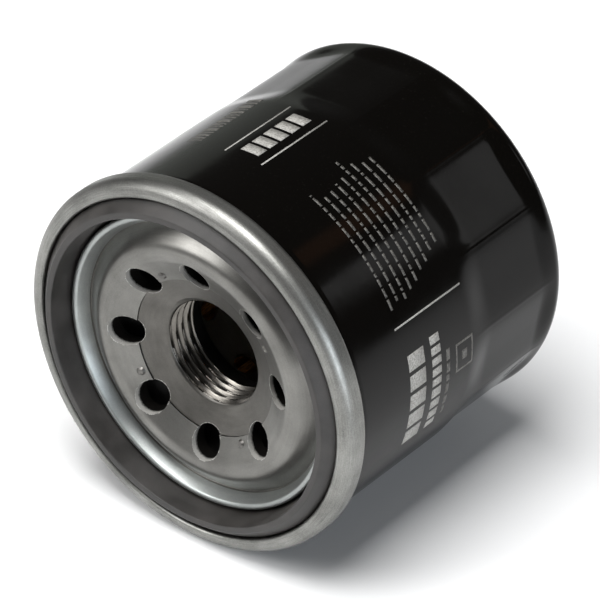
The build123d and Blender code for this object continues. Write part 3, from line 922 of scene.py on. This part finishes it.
@dataclass
class Lid:
    """Pressed lid: inner edge, ridge, groove, folded bead, gasket channel and seam."""

    sheet: float = 0.5
    edge: Point = (14.45, 6.08)
    ridge: Point = (20.27, 3.28)
    groove: Point = (24.75, 6.87)
    bead_crown: float = 3.85
    bead_inner: float = 25.8
    bead_outer: float = 26.95
    channel_floor: float = 7.2
    chuck_wall: float = 31.0
    seam_crown: float = 1.15
    seam_back: float = 5.75
    seam_radius: float = 33.9
    hook_middle: float = 32.37
    hook_end: float = 3.02
    seam_from: float = 30.8
    holes: InletHoles = field(default_factory=InletHoles)

    def middle(self) -> list[Point]:
        """Line along the middle of the sheet.

        Returns:
            Radius and depth of each point.
        """
        half = self.sheet / 2
        bead_in = self.bead_inner + half
        bead_out = self.bead_outer - half
        floor = self.channel_floor + half
        wall = self.seam_radius - half
        curl = self.seam_back - half
        points = [
            self.edge,
            self.ridge,
            self.groove,
            (bead_in, self.bead_crown + half),
            (bead_out, self.bead_crown + half),
            (bead_out, floor),
            (self.chuck_wall + half, floor),
            (self.chuck_wall + half, self.seam_crown + half),
            (wall, self.seam_crown + half),
            (wall, curl),
            (self.hook_middle, curl),
            (self.hook_middle, self.hook_end),
        ]
        bead_bend = (bead_out - bead_in) * 0.48
        curl_bend = (wall - self.hook_middle) * 0.48
        bends = [2.95, 0.3, bead_bend, bead_bend, 0.45, 0.6, 0.35, 2.0, curl_bend, curl_bend]
        return rounded(points, bends, False, 0.3)

    def build(self) -> bpy.types.Object:
        """Builds the lid with its holes.

        Returns:
            The lid, with slots for the dish, the seam, the hole walls and the bead.
        """
        piece = turned_outline("seaming_lid_pressed", thickened(self.middle(), self.sheet), 480, 35.0)
        self.holes.cut(piece)
        for face in piece.data.polygons:
            radius = math.hypot(face.center.x, face.center.z) / MM
            between = self.groove[0] + 0.1 < radius < self.bead_outer - 0.1
            if radius > self.seam_from:
                face.material_index = 1
            # the bead's front gets its own lighter, bluish plate: painted highlight
            elif between and face.center.y / MM < self.groove[1] - 0.5:
                face.material_index = 3
            elif self.holes.has_wall(face):
                face.material_index = 2
            else:
                face.material_index = 0
        return piece

    def dress(self, piece: bpy.types.Object) -> None:
        """Plates the lid: satin in the dish, streaked on the seam, and a lighter plate on the bead's front as
        painted highlight.

        Args:
            piece: The lid.
        """
        dish = ZincPlate(
            "satin_zinc_plate", "#8c8b87", "#565552", roughness=0.34, streak_mm=0.5,
            streak_length_mm=14.0, grain_mm=0.14, relief_m=0.00001, streaks=0.35,
        )
        seam = ZincPlate(
            "rolled_zinc_plate", "#a2a29e", "#555552", roughness=0.42, streak_mm=0.16,
            streak_length_mm=5.0, grain_mm=0.24, relief_m=0.00005, streaks=0.9,
        )
        # lighter, bluish plate for the bead's front: painted highlight
        bead_painted_highlight = ZincPlate(
            "bead_painted_highlight_plate", "#b3b7b5", "#858887", roughness=0.42, streak_mm=0.3,
            streak_length_mm=9.0, grain_mm=0.14, relief_m=0.00001, streaks=0.4,
        )
        materials = [dish.make(), seam.make(), PunchedEdge().make(), bead_painted_highlight.make()]
        piece_slots = [face.material_index for face in piece.data.polygons]
        dress_piece(piece, Body.HOUSING, "lid_zinc", materials, "seaming_lid")
        piece.data.polygons.foreach_set("material_index", piece_slots)


@dataclass
class BasePlate:
    """Tapping plate under the lid with its drawn neck, cut with a right-hand M20 x 1.5 thread."""

    lid: Lid
    sheet: float = 2.5
    minor_radius: float = 9.19
    major_radius: float = 10.0
    pitch: float = 1.5
    groove_top: float = 1.18
    groove_slope: float = 1.36
    runout: float = 0.4
    neck_radius: float = 12.0
    neck_end: float = 14.3
    pad: Point = (14.44, 6.1)
    pad_inner: Point = (11.4, 7.25)
    mouth: Point = (9.35, 8.0)
    thread_start: float = 8.7
    rim: float = 31.45
    holes: InletHoles = field(default_factory=InletHoles)

    def outline(self) -> list[Point]:
        """Closed outline of the plate and the neck.

        Returns:
            Radius and depth of each point, with the bore's wall finely divided.
        """
        lid = self.lid
        slope = (lid.edge[1] - lid.ridge[1]) / (lid.ridge[0] - lid.edge[0])
        start = (self.neck_radius, lid.ridge[1] + (lid.ridge[0] - self.neck_radius) * slope)
        line = [start, lid.ridge, lid.groove]
        front = parallel(line, lid.sheet / 2)
        back = parallel(line, lid.sheet / 2 + self.sheet)
        flange = lid.channel_floor + lid.sheet
        rise = (front[2][1] - front[1][1]) / (front[2][0] - front[1][0])
        front_foot = (front[1][0] + (flange - front[1][1]) / rise, flange)
        back_foot = (back[1][0] + (flange + self.sheet - back[1][1]) / rise, flange + self.sheet)
        plate_front = (self.pad[0] + 0.1, front[1][1] + (front[1][0] - self.pad[0]) * slope)
        corners = [
            ((self.rim, flange), 0.2),
            (front_foot, 0.2),
            (front[1], 2.6),
            (plate_front, 0.1),
            (self.pad, 0.12),
            (self.pad_inner, 1.6),
            (self.mouth, 0.95),
            ((self.minor_radius, self.thread_start), 0.05),
            ((self.minor_radius, self.neck_end), 0.15),
            ((self.neck_radius, self.neck_end), 0.3),
            ((self.neck_radius, back[0][1]), 0.8),
            (back[1], 0.3),
            (back_foot, 1.8),
            ((self.rim, flange + self.sheet), 0.3),
        ]
        points = [corner for corner, _ in corners]
        bends = [bend for _, bend in corners]
        return rounded(points, bends, True, 0.11)

    def build(self) -> bpy.types.Object:
        """Builds the plate, cuts the thread as a helix and punches the holes.

        Returns:
            The plate, with slots for its face, the thread and the hole walls.
        """
        section = np.array(self.outline())
        segments = 480
        angles = np.linspace(0, TURN, segments, endpoint=False)[:, None]
        radii = np.tile(section[:, 0], (segments, 1))
        depths = np.tile(section[:, 1], (segments, 1))
        phase = (depths + self.pitch * angles / TURN) / self.pitch % 1.0
        groove = np.clip(self.groove_top - np.abs(phase - 0.5) * 2 * self.groove_slope, 0.0, 1.0)
        cut = self.minor_radius + groove * (self.major_radius - self.minor_radius)
        in_bore = (section[:, 0] < self.mouth[0] + 0.75) & (section[:, 1] < self.neck_end)
        fade = np.clip((self.neck_end - self.runout / 2 - depths) / self.runout, 0, 1)
        cut = self.minor_radius + (cut - self.minor_radius) * fade
        radii = np.where(in_bore[None, :], np.maximum(radii, cut), radii)
        piece = turned("base_plate_tapped", radii, depths, True, 35.0)
        self.holes.cut(piece)
        limit = (self.major_radius + 0.1) * MM
        for face in piece.data.polygons:
            in_thread = math.hypot(face.center.x, face.center.z) < limit and face.center.y > 8.2 * MM
            face.material_index = 1 if in_thread else 0
            if self.holes.has_wall(face):
                face.material_index = 2
        return piece

    def dress(self, piece: bpy.types.Object) -> None:
        """Plates the plate and leaves the thread bright.

        Args:
            piece: The plate.
        """
        pad = ZincPlate(
            "heavy_zinc_plate", "#706e6a", "#413f3c", roughness=0.34, streak_mm=0.4,
            streak_length_mm=8.0, grain_mm=0.12, relief_m=0.00001, streaks=0.4,
        )
        thread = ZincPlate(
            "tapped_bright_steel", "#8d8983", "#45423e", roughness=0.22, streak_mm=0.12,
            streak_length_mm=10.0, grain_mm=0.1, relief_m=0.00001, streaks=0.8,
        )
        slots = [face.material_index for face in piece.data.polygons]
        materials = [pad.make(), thread.make(), PunchedEdge().make()]
        dress_piece(piece, Body.HOUSING, "plate_steel", materials, "base_plate")
        piece.data.polygons.foreach_set("material_index", slots)


@dataclass
class Gasket:
    """Moulded sealing ring: a narrow crown, a sloping shoulder and an undercut inner wall."""

    crown_inner: float = 28.0
    crown_outer: float = 29.1
    shoulder: Point = (30.86, 2.0)
    wall_foot: Point = (30.9, 6.58)
    outer_foot: Point = (30.3, 7.18)
    inner_foot: Point = (27.65, 7.18)
    inner_wall_foot: Point = (27.05, 6.58)
    inner_shoulder: Point = (27.5, 3.85)

    def build(self) -> bpy.types.Object:
        """Builds the gasket.

        Returns:
            The gasket.
        """
        corners = [
            ((self.crown_inner, 0.0), 0.18),
            ((self.crown_outer, 0.0), 0.35),
            (self.shoulder, 0.9),
            (self.wall_foot, 0.3),
            (self.outer_foot, 0.25),
            (self.inner_foot, 0.2),
            (self.inner_wall_foot, 0.3),
            (self.inner_shoulder, 1.5),
        ]
        outline = rounded([corner for corner, _ in corners], [bend for _, bend in corners], True, 0.3)
        return turned_outline("sealing_gasket_moulded", outline, 360, 50.0)

    def dress(self, piece: bpy.types.Object) -> None:
        """Gives the gasket its rubber.

        Args:
            piece: The gasket.
        """
        rubber = MouldedRubber(
            "moulded_nitrile_rubber", "#1e1c1a", "#363331", roughness=0.5, bloom_mm=6.0, grain_mm=0.14
        )
        dress_piece(piece, Body.HOUSING, "gasket_rubber", [rubber.make()], "sealing_gasket")


@dataclass(frozen=True)
class PrintPatch:
    """One bar of ink: its span of angle in degrees and of depth in millimetres."""

    from_angle: float
    to_angle: float
    from_depth: float
    to_depth: float


@dataclass
class Printing:
    """Generic bars in place of a printed mark: rules, blocks and rows of dashes, with no lettering."""

    radius: float = 32.5
    film: float = 0.015
    seed: int = 5
    first_row: float = 18.3
    row_pitch: float = 1.85
    row_height: float = 0.5
    small_rows: tuple[Point, ...] = (
        (28.0, 68.5),
        (29.5, 66.0),
        (28.5, 67.0),
        (30.0, 67.0),
        (31.0, 68.0),
        (33.0, 72.5),
        (34.0, 70.0),
        (36.0, 68.0),
        (37.0, 68.0),
    )

    def rules(self) -> list[PrintPatch]:
        """Thin axial rules.

        Returns:
            The rules' patches.
        """
        half = 0.28
        spans = ((99.4, 18.0, 34.8), (85.9, 18.0, 34.8), (22.6, 17.6, 34.6))
        return [PrintPatch(angle - half, angle + half, low, high) for angle, low, high in spans]

    def blocks(
        self, span: Point, depths: Point, along_axis: bool, sizes: Point, gap: float
    ) -> list[PrintPatch]:
        """A row of plain blocks of uneven length.

        Args:
            span: First and last angle of the row in degrees.
            depths: First and last depth of the row.
            along_axis: Whether the blocks follow each other along the axis or round it.
            sizes: Shortest and longest block, in millimetres.
            gap: Gap between blocks in millimetres.

        Returns:
            The blocks' patches.
        """
        chance = random.Random(self.seed + round(span[0] * 10) + round(depths[0] * 7))
        degree = math.radians(1) * self.radius
        low, high = depths if along_axis else (span[0] * degree, span[1] * degree)
        patches = []
        place = low
        while place < high - sizes[0] * 0.5:
            end = min(place + chance.uniform(*sizes), high)
            if along_axis:
                patches.append(PrintPatch(span[0], span[1], place, end))
            else:
                patches.append(PrintPatch(place / degree, end / degree, depths[0], depths[1]))
            place = end + gap
        return patches

    def bold(self) -> list[PrintPatch]:
        """Everything in full ink.

        Returns:
            The patches.
        """
        patches = self.rules()
        patches += self.blocks((89.3, 95.9), (19.6, 33.2), True, (2.2, 2.2), 0.65)
        patches += self.blocks((-19.0, 14.0), (18.8, 22.9), False, (3.0, 3.0), 0.8)
        patches += self.blocks((-19.0, 14.0), (24.6, 27.0), False, (1.3, 1.9), 0.6)
        return patches

    def faint(self) -> list[PrintPatch]:
        """Everything in thin ink: rows of dashes, a block in a square outline and a row of thin bars.

        Returns:
            The patches.
        """
        patches = []
        for row, (first, last) in enumerate(self.small_rows):
            depth = self.first_row + row * self.row_pitch
            patches += self.blocks((first, last), (depth, depth + self.row_height), False, (0.5, 2.2), 0.4)
        patches += self.blocks((-17.0, 8.0), (28.3, 29.2), False, (0.8, 2.4), 0.5)
        patches += [
            PrintPatch(-4.0, 6.0, 30.8, 31.2),
            PrintPatch(-4.0, 6.0, 34.9, 35.3),
            PrintPatch(-4.0, -3.2, 31.2, 34.9),
            PrintPatch(5.2, 6.0, 31.2, 34.9),
            PrintPatch(-0.6, 2.6, 32.4, 33.7),
        ]
        patches += self.blocks((111.5, 117.5), (20.0, 36.0), True, (0.3, 1.1), 0.45)
        return patches

    def build(self, name: str, patches: list[PrintPatch]) -> bpy.types.Object:
        """Lays patches on the barrel as a thin film.

        Args:
            name: Name of the piece.
            patches: Bars to print.

        Returns:
            The film.
        """
        vertices: list[tuple[float, float, float]] = []
        faces: list[tuple[int, int, int, int]] = []
        outer = (self.radius + self.film) * MM
        for patch in patches:
            parts = max(1, math.ceil((patch.to_angle - patch.from_angle) / 1.2))
            first = len(vertices)
            for part in range(parts + 1):
                share = part / parts
                angle = math.radians(patch.from_angle + (patch.to_angle - patch.from_angle) * share)
                for depth in (patch.from_depth, patch.to_depth):
                    vertices.append((outer * math.cos(angle), depth * MM, outer * math.sin(angle)))
            for part in range(parts):
                start = first + part * 2
                faces.append((start, start + 1, start + 3, start + 2))
        piece = mesh_object(name, vertices, faces, 60.0)
        for polygon in piece.data.polygons:
            centre = polygon.center
            if polygon.normal.x * centre.x + polygon.normal.z * centre.z < 0:
                polygon.flip()
        film = piece.modifiers.new("film", "SOLIDIFY")
        film.thickness = self.film * 0.9 * MM
        film.offset = -1.0
        return piece

    def print_all(self) -> None:
        """Prints both inks."""
        bold = ScreenInk("pale_grey_screen_ink", "#a3a19c", "#74726d")
        faint = ScreenInk("thin_grey_screen_ink", "#5d5b56", "#2b2927")
        dress_piece(self.build("print_bold_bars", self.bold()), Body.HOUSING, "can_enamel", [bold.make()])
        dress_piece(self.build("print_faint_bars", self.faint()), Body.HOUSING, "can_enamel", [faint.make()])


@dataclass(frozen=True)
class SqueezedSpring:
    """Spring between two bodies, with its joint, its travel and which end is its seat."""

    name: str
    node: str
    body: Body
    joint: str
    travel: float
    seat_is_far_end: bool

    @classmethod
    def coil(cls) -> "SqueezedSpring":
        """Describes the bypass coil, which the poppet presses as it opens.

        Returns:
            The coil, held at its end nearest the thread.
        """
        return cls("bypass_spring_coil", "bypass_spring", Body.ELEMENT, "bypass_open", 2.5, False)

    @classmethod
    def leaf(cls) -> "SqueezedSpring":
        """Describes the leaf spring behind the element.

        Returns:
            The leaf, held at its end nearest the dome.
        """
        return cls("retaining_spring_leaf", "retaining_spring", Body.HOUSING, "element_lift", 0.8, True)

    def fit(self, nodes: dict[str, bpy.types.Object], material: bpy.types.Material) -> None:
        """Stands a finished spring in for its solid.

        Args:
            nodes: The frame's objects by node name.
            material: Finish of the spring.
        """
        piece = bpy.data.objects.new(self.name, nodes[self.node].data.copy())
        bpy.context.scene.collection.objects.link(piece)
        dress_piece(piece, self.body, "spring_steel", [material], self.node)
        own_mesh(piece)


@dataclass
class InnerWorks:
    """The pieces inside the can: each keeps its solid's shape."""

    def dress(self, nodes: dict[str, bpy.types.Object]) -> None:
        """Gives each inner solid its finish.

        Args:
            nodes: The frame's objects by node name.
        """
        tin = ZincPlate(
            "bright_tinplate", "#c9c7c0", "#979590", roughness=0.25, streak_mm=0.3,
            streak_length_mm=20.0, grain_mm=0.2, relief_m=0.00001, streaks=0.5,
        )
        bare = ZincPlate(
            "bare_perforated_strip", "#a9a6a0", "#716e69", roughness=0.38, streak_mm=0.25,
            streak_length_mm=12.0, grain_mm=0.15, relief_m=0.00002, streaks=0.6,
        )
        plated = ZincPlate(
            "plated_valve_pressing", "#b9b6ae", "#827f79", roughness=0.3, streak_mm=0.2,
            streak_length_mm=10.0, grain_mm=0.12, relief_m=0.00001, streaks=0.5,
        )
        hard = ZincPlate(
            "hardened_spring_steel", "#6f6d6b", "#45433f", roughness=0.34, streak_mm=0.15,
            streak_length_mm=4.0, grain_mm=0.1, relief_m=0.00002, streaks=0.7,
        )
        dull = ZincPlate(
            "dull_weld_metal", "#83817d", "#545250", roughness=0.4, streak_mm=0.2,
            streak_length_mm=1.0, grain_mm=0.12, relief_m=0.00003, streaks=0.3,
        )
        steels = (tin, bare, plated, hard, dull)
        tinplate, strip, pressed, spring, weld = (steel.make() for steel in steels)
        valve = MouldedRubber(
            "moulded_silicone_rubber", "#141312", "#232120", roughness=0.45, bloom_mm=3.0, grain_mm=0.2
        ).make()
        plastisol = CuredResin("cured_plastisol", "#b8503c", "#74281d").make()
        compound = CuredResin("cured_seam_compound", "#4b443c", "#2b2722", lump_mm=0.5).make()
        finishes = {
            "seam_compound": compound,
            "tack_welds": weld,
            "anti_drainback_valve": valve,
            "valve_support_ring": pressed,
            "lower_end_cap": tinplate,
            "upper_end_cap": tinplate,
            "pleated_media": ResinPaper().make(),
            "pleat_seam_clip": tinplate,
            "centre_tube": strip,
            "lower_adhesive": plastisol,
            "upper_adhesive": plastisol,
            "bypass_valve_seat": pressed,
            "bypass_valve_seal": valve,
            "bypass_poppet": pressed,
            "bypass_valve_cage": pressed,
        }
        for part in (SqueezedSpring.coil(), SqueezedSpring.leaf()):
            part.fit(nodes, spring)
        for name, material in finishes.items():
            slots = nodes[name].data.materials
            slots.clear()
            slots.append(material)
            log.info("%s: finished in %s", name, material.name)


@dataclass
class Studio:
    """White sweep, soft boxes and the camera."""

    azimuth: float = 38.92
    elevation: float = 34.83
    distance: float = 0.8066
    lens: float = 299.0
    target: tuple[float, float, float] = (0.0105, 0.0177, 0.0098)
    floor_half: float = 6.0
    floor_height: float = -0.0339
    room_light: float = 0.08

    def softbox(
        self,
        name: str,
        place: tuple[float, float, float],
        width: float,
        height: float,
        power: float,
        tint: str,
    ) -> None:
        """Adds a soft box aimed at the object.

        Args:
            name: Name of the light.
            place: Where it stands, in metres.
            width: Width in metres.
            height: Height in metres.
            power: Power in watts.
            tint: sRGB hex colour.
        """
        light = bpy.data.lights.new(name, "AREA")
        light.shape = "RECTANGLE"
        light.size = width
        light.size_y = height
        light.energy = power
        light.color = linear(tint)[:3]
        lamp = bpy.data.objects.new(name, light)
        lamp.location = place
        lamp.rotation_euler = (Vector(self.target) - Vector(place)).to_track_quat("-Z", "Y").to_euler()
        bpy.context.scene.collection.objects.link(lamp)

    def light(self) -> None:
        """Lights the scene: a box overhead, a key from the front left, and boxes beside and behind."""
        self.softbox("overhead_box", (0.0, -0.15, 0.8), 0.6, 0.45, 9.0, "#ffffff")
        self.softbox("left_key_box", (-0.75, -0.9, 0.75), 0.7, 0.7, 11.0, "#ffffff")
        self.softbox("left_back_box", (-0.75, 0.64, 0.17), 0.4, 0.5, 0.22, "#f8fff4")
        self.softbox("right_wall_box", (0.85, -0.2, 0.12), 0.5, 0.45, 4.2, "#eef6ff")
        self.softbox("flat_window", (0.62, 0.75, 0.42), 0.22, 0.3, 0.22, "#ffffff")
        self.softbox("warm_glow", (0.37, 0.66, 0.69), 0.12, 0.16, 0.05, "#a8714c")
        world = bpy.data.worlds.new("dim_room")
        world.use_nodes = True
        backdrop = world.node_tree.nodes["Background"]
        backdrop.inputs["Color"].default_value = linear("#ffffff")
        backdrop.inputs["Strength"].default_value = self.room_light
        bpy.context.scene.world = world

    def lay_floor(self) -> None:
        """Lays the white sweep under the filter."""
        half = self.floor_half
        corners = [(-half, -half), (half, -half), (half, half), (-half, half)]
        places = [(x, y, self.floor_height) for x, y in corners]
        floor = mesh_object("white_sweep", places, [(0, 1, 2, 3)])
        if floor.data.polygons[0].normal.z < 0:
            floor.data.flip_normals()
        floor.data.materials.append(SweepPaper().make())

    def set_camera(self) -> None:
        """Places the camera."""
        turn = math.radians(self.azimuth)
        rise = math.radians(self.elevation)
        level = math.cos(rise)
        back = Vector((math.sin(turn) * level, -math.cos(turn) * level, math.sin(rise)))
        data = bpy.data.cameras.new("studio_camera")
        data.lens = self.lens
        data.sensor_width = 36.0
        camera = bpy.data.objects.new("studio_camera", data)
        camera.location = Vector(self.target) + back * self.distance
        camera.rotation_euler = (-back).to_track_quat("-Z", "Y").to_euler()
        bpy.context.scene.collection.objects.link(camera)
        bpy.context.scene.camera = camera
        bpy.context.scene.view_settings.view_transform = "Standard"


def main() -> None:
    """Builds and dresses the filter, then the studio."""
    logging.basicConfig(level=logging.INFO, format="%(name)s %(message)s")
    can = Can()
    can.dress(can.build())
    lid = Lid()
    lid.dress(lid.build())
    plate = BasePlate(lid)
    plate.dress(plate.build())
    gasket = Gasket()
    gasket.dress(gasket.build())
    Printing().print_all()
    InnerWorks().dress(frame["nodes"])
    studio = Studio()
    studio.lay_floor()
    studio.light()
    studio.set_camera()


if __name__ == "__main__":
    main()
